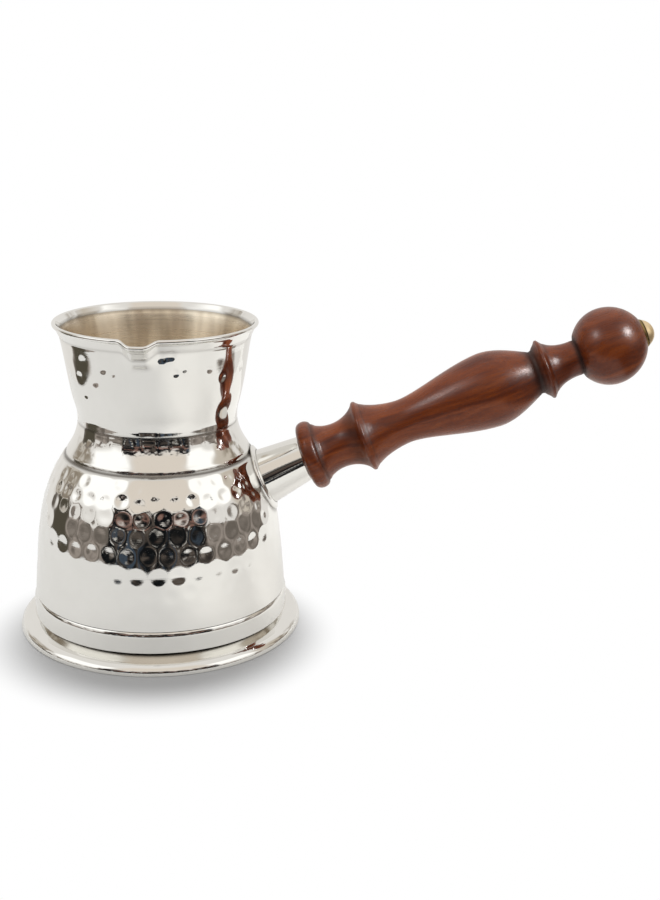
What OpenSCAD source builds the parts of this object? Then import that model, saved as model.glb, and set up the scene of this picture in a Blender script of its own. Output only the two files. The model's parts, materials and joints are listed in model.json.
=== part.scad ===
// Coffee pot (cezve): hammered bell-shaped pot on a flanged foot, with a long
// turned wooden handle held on by a rod and a domed nut.
// Millimetres. +Z is up, the table is z = 0 and the pot's axis is the Z axis.
// The handle lies in the XZ plane and points along +X and upward.

/* [Pot] */
// Height of the pot to the top of its rolled lip
pot_h = 102.8; // [101:0.2:105]
// Outer diameter of the belly just above the foot
belly_d = 83.4; // [83:0.2:84.4]
// Outer diameter of the waist
waist_d = 51.6; // [50:0.2:53]
// Outer diameter of the top of the neck, below the flared mouth
neck_d = 61.4; // [60:0.2:62]
// Diameter of the mouth over the rolled lip
mouth_d = 65.8; // [65:0.2:67]
// Thickness of the sheet metal
wall = 1.2; // [1:0.1:1.4]
// Diameter of the rolled bead that finishes the lip
lip_bead_d = 1.4; // [1.3:0.1:1.6]

/* [Pouring lip] */
// Angle from the handle round to the pouring lip
spout_angle = 94; // [80:1:100]
// How far the pouring lip stands out past the mouth
spout_reach = 2.6; // [2:0.1:3.2]
// How far the edge of the pouring lip lies below the mouth
spout_drop = 1.8; // [1.4:0.1:2.2]
// Width of the pouring lip
spout_w = 8.4; // [8:0.2:9]

/* [Foot] */
// Diameter over the flange that the pot stands on
foot_d = 94; // [93:0.5:97]
// Height of the foot, up to the groove under the belly
foot_h = 11; // [10.8:0.1:11.4]
// Thickness of the rounded flange
flange_t = 3.4; // [3.2:0.1:3.6]
// Thickness of the plate that closes the bottom
floor_t = 1.5; // [1.2:0.1:1.8]

/* [Socket] */
// Distance from the pot's axis to the seat of the handle
seat_x = 48.5; // [47.5:0.1:49.5]
// Height of the seat of the handle above the table
seat_z = 56.9; // [56:0.1:58]
// Angle of the metal socket above level
socket_pitch = 26.5; // [25:0.5:28]
// Outer diameter of the socket where the handle seats
socket_mouth_d = 14.8; // [14.4:0.1:15.2]
// Outer diameter of the socket where it meets the pot
socket_root_d = 18.9; // [18.4:0.1:19.4]
// Thickness of the socket's wall
socket_wall = 0.9; // [0.8:0.1:1]
// Diameter of the saddle-shaped collar round the socket's root
collar_d = 24; // [23.5:0.5:24.5]
// Thickness of that collar
collar_t = 1; // [0.8:0.1:1.2]

/* [Handle] */
// Angle of the wooden handle above level
handle_pitch = 21.6; // [20.6:0.2:22.6]
// Length of the wood from the socket to the washer
grip_l = 117; // [116.6:0.2:117.4]
// Diameter of the grip at its thickest
grip_d = 25; // [24:0.2:26]
// Diameter of the ball at the end
ball_d = 25.5; // [25:0.1:26]
// Diameter of the hole through the handle
grip_bore_d = 5.6; // [5.5:0.1:5.8]

/* [Rod and nut] */
// Diameter of the tie rod
rod_d = 5; // [4.8:0.1:5]
// Outer diameter of the domed nut
dome_d = 8.9; // [8.6:0.1:9]
// Height of the dome
dome_h = 3.2; // [3:0.1:3.4]
// Outer diameter of the washer under the nut
washer_d = 9.4; // [9.2:0.1:9.6]
// Thickness of the washer
washer_t = 0.7; // [0.6:0.1:0.8]

/* [Hidden] */
$fn = 96;

silver = [0.82, 0.81, 0.78];
steel = [0.62, 0.62, 0.60];
rosewood = [0.34, 0.13, 0.08];
brass = [0.80, 0.64, 0.36];

// ---- Curves and paths ----

// Point at t, from 0 to 1, on the cubic curve with control points p
function bezier(p, t) =
    pow(1 - t, 3) * p[0] + 3 * pow(1 - t, 2) * t * p[1] + 3 * (1 - t) * t * t * p[2] + pow(t, 3) * p[3];

// n points along that curve, leaving out its last one
function curve(p, n) = [for (i = [0 : n - 1]) bezier(p, i / n)];

// Points on an arc of radius r round c, from angle a0 to a1
function arc(c, r, a0, a1, n = 8) =
    [for (i = [0 : n]) c + r * [cos(a0 + (a1 - a0) * i / n), sin(a0 + (a1 - a0) * i / n)]];

// Unit vector to the right of path p at its point i
function right_of(p, i) =
    let (d = p[min(i + 1, len(p) - 1)] - p[max(i - 1, 0)])
    [d[1], -d[0]] / norm(d);

// Path p moved to its right by distance d
function shifted(p, d) = [for (i = [0 : len(p) - 1]) p[i] + d * right_of(p, i)];

function reversed(p) = [for (i = [len(p) - 1 : -1 : 0]) p[i]];

// ---- Outline of the pot as [radius, height], from the foot up ----

belly_r = belly_d / 2;
waist_r = waist_d / 2;
neck_r = neck_d / 2;
bead_r = lip_bead_d / 2;
lip_r = mouth_d / 2 - bead_r;           // centre of the rolled bead
lip_z = pot_h - bead_r;
flare_h = 3.7;                          // height of the flared mouth below the bead
flare_z = lip_z - flare_h;
waist_z = 71;
shoulder = [waist_r + 3.8, 61.1];       // where the belly turns in to the waist
collum = [waist_r + 0.7, waist_z + 5];  // where the waist turns out to the neck

belly_curve = curve([[belly_r, foot_h], [belly_r - 2, 38.7], [belly_r - 2.5, 47.7], shoulder], 20);
waist_curve = curve([shoulder, [waist_r + 0.7, 65.4], [waist_r - 0.9, waist_z - 0.3], collum], 10);
neck_curve = curve([collum, [waist_r + 2.8, 83], [neck_r - 1.5, 92], [neck_r, flare_z]], 10);
pot_outline = concat(belly_curve, waist_curve, neck_curve, [[neck_r, flare_z]]);

// The shell's lower end is necked in, to sit inside the foot ring
spigot_r = 38.7;
spigot_z = 0.8;
spigot_step = [[spigot_r, spigot_z], [spigot_r, foot_h - 1.4], [belly_r - 1.2, foot_h - 0.2]];

shell_outside = concat(spigot_step, pot_outline, [[lip_r - 0.1, lip_z - bead_r]]);
shell_inside = shifted(shell_outside, -wall);

// The pot's outline, grown by a margin, as a solid block
module pot_block(margin) {
    rotate_extrude()
        polygon(concat([[0, foot_h]], shifted(pot_outline, margin), [[0, flare_z]]));
}

// ---- Pot body ----

// Places a child's XZ plane through the middle of the pouring lip
module at_spout() {
    rotate(-spout_angle) children();
}

spout_lean = 38;                        // angle of the pouring lip from upright
spout_edge = [mouth_d / 2 + spout_reach, pot_h - spout_drop];
spout_bar_l = 24;

// Leaning round bar whose outer side runs out through the edge of the pouring lip
module spout_bar(r) {
    translate([spout_edge[0], 0, spout_edge[1]])
        rotate([0, spout_lean, 0])
            translate([-spout_w / 2, 0, -spout_bar_l / 2])
                cylinder(r = r, h = spout_bar_l);
}

// Everything that the shell of the pot encloses
module pot_cavity() {
    rotate_extrude()
        polygon(concat([[0, spigot_z - 1], [spigot_r - wall, spigot_z - 1]], shell_inside,
            [[lip_r - wall, pot_h + 1], [0, pot_h + 1]]));
}

module spout_blank() {
    intersection() {
        at_spout() spout_bar(spout_w / 2);
        translate([0, 0, foot_h]) cylinder(r = foot_d, h = spout_edge[1] - foot_h);
    }
}

module pot_body() {
    color(silver)
        difference() {
            union() {
                rotate_extrude()
                    polygon(concat(shell_outside, arc([lip_r, lip_z], bead_r, -75, 165, 10),
                        reversed(shell_inside)));
                difference() {
                    spout_blank();
                    pot_cavity();
                }
            }
            at_spout() spout_bar(spout_w / 2 - wall);
        }
}

// ---- Foot ----

plate_z = 1;                            // underside of the floor plate above the table

module floor_plate() {
    color(silver)
        translate([0, 0, plate_z]) cylinder(r = spigot_r - wall, h = floor_t);
}

foot_r = foot_d / 2;
flange_r = flange_t / 2;
foot_tread_r = 42;                      // the foot stands on the ring outside this radius
foot_recess = 0.6;
bead_crest = [40.8, flange_t - 0.1];    // fine bead between the groove and the flange
band_r = belly_r + 0.2;                 // the band bulges to this radius
foot_outline = concat(
    [[spigot_r, foot_recess], [foot_tread_r - 1, foot_recess], [foot_tread_r, 0]],
    arc([foot_r - flange_r, flange_r], flange_r, -90, 90, 16),
    curve([[foot_r - flange_r - 0.6, flange_t], [44, 3.2], [43.4, 2.6], [41.9, 2.8]], 6),
    arc(bead_crest, 0.5, -20, 170, 8),
    [[39.8, 3.8]],
    curve([[band_r - 0.9, 4.5], [band_r + 0.2, 5.9], [band_r + 0.2, 9], [band_r - 0.5, 10.3]], 8),
    [[band_r - 0.6, 10.4], [spigot_r + 1.5, foot_h - 0.7], [spigot_r, foot_h - 1.8]]);

module foot_ring() {
    color(silver)
        rotate_extrude()
            polygon(foot_outline);
}

// ---- Socket ----

// Puts a child's Z axis along an axis that leans up from level and starts at the handle's seat
module from_seat(pitch) {
    translate([seat_x, 0, seat_z])
        rotate([0, 90 - pitch, 0])
            children();
}

socket_l = 16;                          // seat to root along the socket
socket_run = 26;                        // long enough to reach inside the pot
socket_taper = (socket_root_d - socket_mouth_d) / 2 / socket_l;

// Cone of the socket, thinned by a margin, from inside the pot to just past the seat
module socket_cone(margin) {
    past = 2;
    from_seat(socket_pitch)
        translate([0, 0, -socket_run])
            cylinder(
                r1 = socket_mouth_d / 2 + socket_taper * socket_run - margin,
                r2 = socket_mouth_d / 2 - socket_taper * past - margin,
                h = socket_run + past);
}

// Slab square to the handle, between two distances from its seat
module handle_slab(from, to) {
    from_seat(handle_pitch)
        translate([0, 0, from])
            cylinder(r = 20, h = to - from);
}

module socket_tube() {
    color(silver)
        difference() {
            socket_cone(0);
            socket_cone(socket_wall);
            pot_block(0);
            handle_slab(0, 6);
        }
}

module socket_collar() {
    color(silver)
        intersection() {
            difference() {
                pot_block(collar_t);
                pot_block(0);
                socket_cone(0);
            }
            from_seat(socket_pitch)
                translate([0, 0, -socket_run])
                    cylinder(d = collar_d, h = socket_run);
        }
}

// ---- Rod ----

anchor_in = -13;                        // the anchor's two ends, from the handle's seat
anchor_out = -9;
rod_end = grip_l - 0.8;                 // outer end of the rod, from the handle's seat

module rod_anchor() {
    color(steel)
        difference() {
            intersection() {
                socket_cone(socket_wall);
                handle_slab(anchor_in, anchor_out);
            }
            from_seat(handle_pitch)
                translate([0, 0, anchor_in - 1])
                    cylinder(d = rod_d, h = anchor_out - anchor_in + 2);
        }
}

module tie_rod() {
    color(steel)
        from_seat(handle_pitch)
            translate([0, 0, anchor_in])
                cylinder(d = rod_d, h = rod_end - anchor_in);
}

// ---- Wooden handle ----

tenon_r = 5.4;                          // plug that goes into the socket
tenon_l = 7;
ball_r = ball_d / 2;
ball_flat_r = 5.3;                      // flat on the ball that the washer sits on
ball_z = grip_l - sqrt(ball_r * ball_r - ball_flat_r * ball_flat_r);
neck_thin = 5.65;                       // thin neck before the ball
swell = grip_d / 2;
shank_r = 3.5;                          // sleeve of the nut, inside the ball
shank_l = 9;
shank_room = 0.35;                      // space round the sleeve

// Outline as [radius, distance from the seat]
grip_outline = concat(
    [[0, -tenon_l], [tenon_r, -tenon_l], [tenon_r, 0], [9.4, 0]],
    curve([[10.2, 0.3], [11.9, 1], [12, 4.2], [10.2, 5.1]], 8),
    curve([[9.9, 5.4], [6.7, 8], [6.4, 16.6], [11, 19.6]], 12),
    arc([10.9, 20.9], 1, -80, 80, 8),
    curve([[10.8, 22.3], [8.9, 24.2], [7.5, 30], [7.3, 34.6]], 8),
    curve([[7.3, 34.6], [7.3, 42], [swell - 0.5, 53.5], [swell, 64.3]], 12),
    curve([[swell, 64.3], [swell + 0.1, 70], [9.6, 75.5], [7.1, 80.5]], 10),
    curve([[7.1, 80.5], [7.6, 81.3], [8.4, 82.2], [9.1, 82.9]], 4),
    arc([9.1, 83.8], 0.9, -80, 80, 8),
    curve([[9.1, 84.9], [6.9, 86.5], [neck_thin, 89.5], [neck_thin, 94]], 8),
    arc([0, ball_z], ball_r, asin(neck_thin / ball_r) - 90, 90 - asin(ball_flat_r / ball_r), 24),
    [[0, grip_l]]);

module handle_grip() {
    color(rosewood)
        from_seat(handle_pitch)
            difference() {
                rotate_extrude()
                    polygon(grip_outline);
                translate([0, 0, -tenon_l - 1])
                    cylinder(d = grip_bore_d, h = grip_l + tenon_l + 2);
                translate([0, 0, grip_l - shank_l - 0.5])
                    cylinder(r = shank_r + shank_room, h = shank_l + 1);
            }
}

// ---- Washer and domed nut ----

running_fit = 0.06;                     // space between parts that turn on each other
dome_curve_r = (dome_d * dome_d / 4 + dome_h * dome_h) / (2 * dome_h);
nut_seat = grip_l + washer_t;           // underside of the dome, from the handle's seat

module finial_washer() {
    color(brass)
        from_seat(handle_pitch)
            translate([0, 0, grip_l])
                difference() {
                    cylinder(d = washer_d, h = washer_t);
                    translate([0, 0, -1]) cylinder(r = shank_r + running_fit, h = washer_t + 2);
                }
}

module finial_nut() {
    thread_top = 1.4;                   // the blind thread ends this far inside the dome
    color(brass)
        from_seat(handle_pitch)
            translate([0, 0, nut_seat])
                difference() {
                    union() {
                        intersection() {
                            translate([0, 0, dome_h - dome_curve_r]) sphere(r = dome_curve_r);
                            cylinder(r = dome_d, h = dome_h + 1);
                        }
                        translate([0, 0, -shank_l]) cylinder(r = shank_r, h = shank_l + 0.5);
                    }
                    translate([0, 0, -shank_l - 1])
                        cylinder(r = rod_d / 2 + running_fit, h = shank_l + 1 + thread_top);
                }
}

pot_body();
floor_plate();
foot_ring();
socket_collar();
socket_tube();
rod_anchor();
tie_rod();
handle_grip();
finial_washer();
finial_nut();
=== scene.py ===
"""Looks of the hammered coffee pot (cezve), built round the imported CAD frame.

Lengths are in metres. The pot's axis is Z, the table is z = 0 and the handle points along +X.
"""
import json
import math
import random

import bpy
import numpy as np
from mathutils import Matrix, Vector


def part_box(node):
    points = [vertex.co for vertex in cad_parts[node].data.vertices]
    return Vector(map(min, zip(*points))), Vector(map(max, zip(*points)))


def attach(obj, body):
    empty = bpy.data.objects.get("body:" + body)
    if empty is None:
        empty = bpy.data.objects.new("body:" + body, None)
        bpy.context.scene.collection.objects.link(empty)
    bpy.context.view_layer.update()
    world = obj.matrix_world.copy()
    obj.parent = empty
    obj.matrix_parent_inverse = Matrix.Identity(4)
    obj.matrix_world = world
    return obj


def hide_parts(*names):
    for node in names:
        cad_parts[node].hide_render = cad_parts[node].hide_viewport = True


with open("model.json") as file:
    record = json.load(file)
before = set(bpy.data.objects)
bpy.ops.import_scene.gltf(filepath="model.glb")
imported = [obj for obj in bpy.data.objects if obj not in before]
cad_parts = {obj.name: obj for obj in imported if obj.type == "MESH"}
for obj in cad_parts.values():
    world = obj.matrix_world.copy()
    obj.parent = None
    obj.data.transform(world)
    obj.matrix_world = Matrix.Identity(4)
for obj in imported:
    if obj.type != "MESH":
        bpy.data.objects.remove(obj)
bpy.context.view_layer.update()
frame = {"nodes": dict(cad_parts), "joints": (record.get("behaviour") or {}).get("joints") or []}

MM = 0.001

# ---- Sizes that come from the frame ----

POT_LOW, POT_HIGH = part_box("pot_body")
FOOT_LOW, FOOT_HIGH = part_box("foot_ring")
PLATE_LOW, PLATE_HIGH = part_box("floor_plate")
NUT_TURN = next(j for j in frame["joints"] if j["name"] == "nut_turn")
SEAT = Vector(NUT_TURN["pos_m"])            # where the handle meets its socket, on the handle's axis
HANDLE_AXIS = Vector(NUT_TURN["axis"]).normalized()
HANDLE_LEAN = math.atan2(HANDLE_AXIS.x, HANDLE_AXIS.z)

BELLY_R = POT_HIGH.x
POT_TOP = POT_HIGH.z
FOOT_R = FOOT_HIGH.x
SKIRT_TOP_Z = FOOT_HIGH.z + 1.9 * MM
BELLY_FOOT_Z = SKIRT_TOP_Z + 0.25 * MM      # where the belly rises out of the foot ring

# ---- Paths of [radius, height] ----


def bezier(points, count):
    """Points along a cubic curve, without its last one."""
    p = np.array(points, float)
    t = np.linspace(0, 1, count, endpoint=False)[:, None]
    return (1 - t) ** 3 * p[0] + 3 * (1 - t) ** 2 * t * p[1] + 3 * (1 - t) * t * t * p[2] + t ** 3 * p[3]


def arc(centre, radius, start, stop, count):
    """Points on an arc, from the angle start to the angle stop in degrees."""
    a = np.radians(np.linspace(start, stop, count))
    return np.array(centre) + radius * np.stack([np.cos(a), np.sin(a)], 1)


def joined(*parts):
    return np.concatenate([np.array(p, float).reshape(-1, 2) for p in parts])


def lengths(path):
    """Distance along the path at each of its points."""
    return np.concatenate([[0.0], np.cumsum(np.hypot(*np.diff(path, axis=0).T))])


def resampled(path, step):
    """The same path with its points about step apart."""
    s = lengths(path)
    at = np.linspace(0, s[-1], max(2, int(round(s[-1] / step)) + 1))
    return np.stack([np.interp(at, s, path[:, 0]), np.interp(at, s, path[:, 1])], 1)


def right_of(path, closed=False):
    """Unit vector to the right of the path at each point."""
    if closed:
        d = np.roll(path, -1, 0) - np.roll(path, 1, 0)
    else:
        d = np.gradient(path, axis=0)
    d /= np.maximum(np.hypot(d[:, 0], d[:, 1]), 1e-12)[:, None]
    return np.stack([d[:, 1], -d[:, 0]], 1)


def shifted(path, distance):
    return path + distance * right_of(path)


def bump(x, width):
    """Smooth hump of height 1 at x = 0."""
    return np.exp(-(x / width) ** 2)


def ease(x, low, high):
    """0 below low, 1 above high and smooth between."""
    t = np.clip((x - low) / (high - low), 0, 1)
    return t * t * (3 - 2 * t)


# ---- Mesh building ----


def new_object(name, vertices, faces):
    mesh = bpy.data.meshes.new(name)
    mesh.from_pydata(vertices.tolist(), [], faces)
    mesh.polygons.foreach_set("use_smooth", [True] * len(mesh.polygons))
    mesh.update()
    piece = bpy.data.objects.new(name, mesh)
    bpy.context.scene.collection.objects.link(piece)
    return piece


def grid_faces(rings, turns, wrap):
    """Quads between rings of turns points each. wrap joins the last ring to the first."""
    j = np.arange(rings if wrap else rings - 1)[:, None]
    i = np.arange(turns)[None, :]
    up, on = (j + 1) % rings, (i + 1) % turns
    quads = np.stack([j * turns + i, j * turns + on, up * turns + on, up * turns + i], -1)
    return quads.reshape(-1, 4)


def revolved(name, path, turns, wrap=False, offset=None, push=None):
    """Surface of revolution of a path.

    offset moves points along the surface normal, and push then changes their radius and height.
    A path that starts or ends on the axis is closed there by a fan."""
    ends = [] if wrap else [k for k in (0, -1) if abs(path[k, 0]) < 1e-9]
    off_axis = slice(1 if 0 in ends else 0, len(path) - 1 if -1 in ends else len(path))
    body, across = path[off_axis], right_of(path, wrap)[off_axis]
    angle = np.arange(turns) * 2 * math.pi / turns
    radius = np.repeat(body[:, :1], turns, 1)
    height = np.repeat(body[:, 1:], turns, 1)
    if offset is not None:
        radius = radius + offset * across[:, :1]
        height = height + offset * across[:, 1:]
    if push is not None:
        radius, height = push(radius, height, np.repeat(angle[None, :], len(body), 0))
    ring = np.stack([radius * np.cos(angle), radius * np.sin(angle), height], -1)
    vertices = ring.reshape(-1, 3)
    faces = grid_faces(len(body), turns, wrap).tolist()
    for k in ends:
        tip = len(vertices)
        vertices = np.concatenate([vertices, [[0, 0, path[k, 1]]]])
        first = 0 if k == 0 else (len(body) - 1) * turns
        for i in range(turns):
            a, b = first + i, first + (i + 1) % turns
            faces.append([tip, b, a] if k == 0 else [tip, a, b])
    return new_object(name, vertices, faces)


def crease_edges(piece, degrees):
    piece.data.set_sharp_from_angle(angle=math.radians(degrees))


def paint(piece, name, values):
    """Stores one number per vertex, for a material to read."""
    layer = piece.data.attributes.new(name, "FLOAT", "POINT")
    full = np.zeros(len(piece.data.vertices), np.float32)
    full[:values.size] = values.ravel()
    layer.data.foreach_set("value", full)


def finish_piece(piece, body, node, slot, *materials):
    """Gives the piece its materials and its body, and hides the CAD node that it stands for. The slot is not
    used.
    """
    for material in materials:
        piece.data.materials.append(material)
    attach(piece, body)
    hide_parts(node)
    return piece


# ---- Node graphs ----


class Graph:
    """A node tree that is built by calls, each of which returns an output socket."""

    def __init__(self, tree):
        self.tree = tree
        tree.nodes.clear()

    def node(self, kind, inputs=None, **settings):
        made = self.tree.nodes.new(kind)
        for key, value in settings.items():
            setattr(made, key, value)
        for key, value in (inputs or {}).items():
            if isinstance(value, bpy.types.NodeSocket):
                self.tree.links.new(value, made.inputs[key])
            else:
                made.inputs[key].default_value = value
        return made

    def math(self, operation, *values, clamp=False):
        inputs = dict(enumerate(values))
        return self.node("ShaderNodeMath", inputs, operation=operation, use_clamp=clamp).outputs[0]

    def scaled(self, vector, factors):
        inputs = {0: vector, 1: factors}
        return self.node("ShaderNodeVectorMath", inputs, operation="MULTIPLY").outputs[0]

    def added(self, vector, other):
        inputs = {0: vector, 1: other}
        return self.node("ShaderNodeVectorMath", inputs, operation="ADD").outputs[0]

    def noise(self, vector, scale, detail=2.0, roughness=0.5, distortion=0.0, colour=False):
        inputs = {"Vector": vector, "Scale": scale, "Detail": detail, "Roughness": roughness,
                  "Distortion": distortion}
        return self.node("ShaderNodeTexNoise", inputs).outputs["Color" if colour else "Fac"]

    def span(self, value, low, high, to_low=0.0, to_high=1.0, smooth=True):
        kind = "SMOOTHSTEP" if smooth else "LINEAR"
        inputs = {"Value": value, "From Min": low, "From Max": high, "To Min": to_low, "To Max": to_high}
        return self.node("ShaderNodeMapRange", inputs, interpolation_type=kind).outputs["Result"]

    def mix(self, share, first, second, blend="MIX"):
        made = self.node("ShaderNodeMix", data_type="RGBA", blend_type=blend)
        for key, value in ((0, share), (6, first), (7, second)):
            if isinstance(value, bpy.types.NodeSocket):
                self.tree.links.new(value, made.inputs[key])
            else:
                made.inputs[key].default_value = value
        return made.outputs[2]

    def ramp(self, value, stops):
        made = self.node("ShaderNodeValToRGB", {"Fac": value})
        elements = made.color_ramp.elements
        while len(elements) < len(stops):
            elements.new(0.5)
        for element, (position, colour) in zip(elements, stops):
            element.position = position
            element.color = colour
        return made.outputs["Color"]

    def bump(self, height, strength, distance, normal=None):
        inputs = {"Height": height, "Strength": strength, "Distance": distance}
        if normal is not None:
            inputs["Normal"] = normal
        return self.node("ShaderNodeBump", inputs).outputs["Normal"]


def rgb(red, green, blue):
    return (red, green, blue, 1.0)


def new_material(name):
    material = bpy.data.materials.new(name)
    material.use_nodes = True
    return material, Graph(material.node_tree)


def surface(graph, inputs):
    shader = graph.node("ShaderNodeBsdfPrincipled", inputs)
    graph.node("ShaderNodeOutputMaterial", {"Surface": shader.outputs[0]})


def object_millimetres(graph):
    """Object coordinates in millimetres."""
    place = graph.node("ShaderNodeTexCoord").outputs["Object"]
    return graph.scaled(place, (1000, 1000, 1000))


def handle_millimetres(graph):
    """Coordinates in millimetres whose Z runs along the handle, from its seat."""
    place = graph.added(graph.node("ShaderNodeTexCoord").outputs["Object"], tuple(-SEAT))
    turned = graph.node("ShaderNodeVectorRotate", {"Vector": place, "Angle": -HANDLE_LEAN},
                        rotation_type="Y_AXIS").outputs[0]
    return graph.scaled(turned, (1000, 1000, 1000))


# ---- Materials ----


def silver_material():
    """Polished silver plate, with hair-fine polishing lines, and a little tarnish with painted shade
    darkening the creases.
    """
    material, g = new_material("polished_silver")
    place = object_millimetres(g)
    lines = g.noise(g.scaled(place, (0.05, 0.05, 5.0)), 1.0, detail=3.0)
    cloud = g.noise(place, 0.09, detail=3.0, roughness=0.6)
    # Tarnish and painted shade: the creases are painted dark brown.
    tarnish_and_shade = g.node("ShaderNodeAttribute", attribute_name="tarnish_and_shade").outputs["Fac"]
    clean = g.mix(cloud, rgb(0.81, 0.80, 0.77), rgb(0.87, 0.86, 0.835))
    colour = g.mix(tarnish_and_shade, clean, rgb(0.10, 0.085, 0.07))
    rough = g.math("MULTIPLY_ADD", lines, 0.03, g.span(cloud, 0.35, 0.75, 0.015, 0.045))
    rough = g.math("MULTIPLY_ADD", tarnish_and_shade, 0.25, rough)
    normal = g.bump(lines, 0.02, 0.0002)
    surface(g, {"Base Color": colour, "Metallic": 1.0, "Roughness": rough, "Normal": normal})
    return material


def tin_material():
    """Tinned inside of the pot: brushed round on a lathe, with upright streaks that are partly wiping marks
    and partly painted sheen, brighter on the mouth.
    """
    material, g = new_material("brushed_tin")
    place = object_millimetres(g)
    height = g.node("ShaderNodeSeparateXYZ", {0: place}).outputs["Z"]
    rings = g.noise(g.scaled(place, (0.02, 0.02, 2.2)), 1.0, detail=5.0, roughness=0.7)
    wipes_and_sheen = g.noise(g.scaled(place, (0.15, 0.15, 0.012)), 1.0, detail=2.0, roughness=0.5)
    tarnish_and_shade = g.node("ShaderNodeAttribute", attribute_name="tarnish_and_shade").outputs["Fac"]
    # Upright streaks of tone, partly wiping marks and partly painted sheen of reflected light.
    colour = g.mix(g.span(wipes_and_sheen, 0.36, 0.64), rgb(0.66, 0.565, 0.445), rgb(0.98, 0.88, 0.72))
    colour = g.mix(g.span(rings, 0.30, 0.62, 0.08, 0.0), colour, rgb(0.16, 0.13, 0.10))
    mouth = g.span(height, INNER_CREASE_Z / MM - 0.4, INNER_CREASE_Z / MM + 0.6)
    colour = g.mix(mouth, colour, rgb(0.84, 0.78, 0.68))
    # Tarnish and painted shade in the crease inside the mouth.
    colour = g.mix(tarnish_and_shade, colour, rgb(0.07, 0.055, 0.04))
    rough = g.math("MULTIPLY", g.span(rings, 0.3, 0.7, 0.24, 0.36), g.span(mouth, 0.0, 1.0, 1.0, 0.55))
    tangent = g.node("ShaderNodeTangent", direction_type="RADIAL", axis="Z").outputs[0]
    normal = g.bump(rings, 0.07, 0.0002)
    surface(g, {"Base Color": colour, "Metallic": 1.0, "Roughness": rough, "Anisotropic": 0.8,
                "Anisotropic Rotation": 0.25, "Tangent": tangent, "Normal": normal})
    return material


def rosewood_material():
    """Turned rosewood with streaks and pores along the handle, under clear lacquer, with painted shade in
    the hollows.
    """
    material, g = new_material("lacquered_rosewood")
    place = handle_millimetres(g)
    drift = g.noise(g.scaled(place, (1, 1, 0.2)), 0.09, detail=2.0, colour=True)
    warped = g.added(place, g.scaled(g.added(drift, (-0.5, -0.5, -0.5)), (9, 9, 0)))
    bands = g.noise(g.scaled(warped, (0.30, 0.10, 0.016)), 1.0, detail=3.0, roughness=0.55)
    streaks = g.noise(g.scaled(warped, (1.3, 1.3, 0.06)), 1.0, detail=4.0, roughness=0.65)
    fine = g.noise(g.scaled(place, (4.5, 4.5, 0.30)), 1.0, detail=2.0)
    pores = g.span(fine, 0.60, 0.72)
    tone = g.math("ADD", g.math("MULTIPLY", bands, 0.66), g.math("MULTIPLY", streaks, 0.34))
    colour = g.ramp(tone, ((0.30, rgb(0.048, 0.0054, 0.0006)), (0.44, rgb(0.105, 0.0165, 0.0012)),
                           (0.56, rgb(0.175, 0.0330, 0.0030)), (0.72, rgb(0.270, 0.0640, 0.0100))))
    colour = g.mix(g.math("MULTIPLY", pores, 0.45), colour, rgb(0.018, 0.004, 0.002))
    # Painted shade: the hollows of the turning are painted near black.
    groove = g.node("ShaderNodeAttribute", attribute_name="groove").outputs["Fac"]
    colour = g.mix(g.math("MULTIPLY", groove, 0.9), colour, rgb(0.010, 0.0025, 0.0015))
    rough = g.math("ADD", g.span(streaks, 0.3, 0.7, 0.34, 0.25), g.math("MULTIPLY", groove, 0.3))
    normal = g.bump(g.math("SUBTRACT", streaks, pores), 0.10, 0.0002)
    surface(g, {"Base Color": colour, "Roughness": rough, "Normal": normal, "Specular IOR Level": 0.38})
    return material


def brass_material(name, dark, light, low_rough, high_rough):
    """Brass with turning marks, and a brown stain with painted shade where the pieces meet."""
    material, g = new_material(name)
    place = handle_millimetres(g)
    marks = g.noise(g.scaled(place, (0.3, 0.3, 9.0)), 1.0, detail=3.0)
    cloud = g.noise(place, 0.45, detail=4.0, roughness=0.6)
    stain_and_shade = g.node("ShaderNodeAttribute", attribute_name="tarnish_and_shade").outputs["Fac"]
    colour = g.mix(cloud, dark, light)
    colour = g.mix(stain_and_shade, colour, rgb(0.05, 0.030, 0.012))
    rough = g.math("ADD", g.span(cloud, 0.3, 0.7, low_rough, high_rough), g.math("MULTIPLY", stain_and_shade, 0.3))
    surface(g, {"Base Color": colour, "Metallic": 1.0, "Roughness": rough,
                "Normal": g.bump(marks, 0.08, 0.0001)})
    return material


def steel_material():
    """Plain turned steel."""
    material, g = new_material("turned_steel")
    place = object_millimetres(g)
    grain = g.noise(place, 3.0, detail=5.0, roughness=0.7)
    colour = g.mix(grain, rgb(0.42, 0.42, 0.41), rgb(0.60, 0.60, 0.58))
    surface(g, {"Base Color": colour, "Metallic": 1.0, "Roughness": g.span(grain, 0.3, 0.7, 0.25, 0.4),
                "Normal": g.bump(grain, 0.1, 0.0001)})
    return material


def table_material():
    """Table top as the silver mirrors it: a painted grey for the table's shade round the pot, a little warm,
    and brighter under the handle as painted light.
    """
    material, g = new_material("table_paper")
    place = g.node("ShaderNodeTexCoord").outputs["Object"]
    along = g.node("ShaderNodeSeparateXYZ", {0: place}).outputs["X"]
    colour = g.mix(g.noise(place, 30.0, detail=3.0), rgb(0.67, 0.665, 0.65), rgb(0.70, 0.695, 0.68))
    # Painted light: brighter towards the handle's side.
    colour = g.mix(g.span(along, 0.00, 0.09), colour, rgb(0.86, 0.85, 0.82))
    surface(g, {"Base Color": colour, "Roughness": 0.9, "Specular IOR Level": 0.0})
    return material


SHADOW_SHIFT = 14 * MM                      # from the middle of the shadowed paper back to the pot's axis
SHADOW_EDGE = (37 * MM, 61 * MM)            # where the shadowed paper starts and ends to fade
FLOOR_BOUNCE = 0.6                          # how brightly the white floor lights the pot and handle


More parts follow.
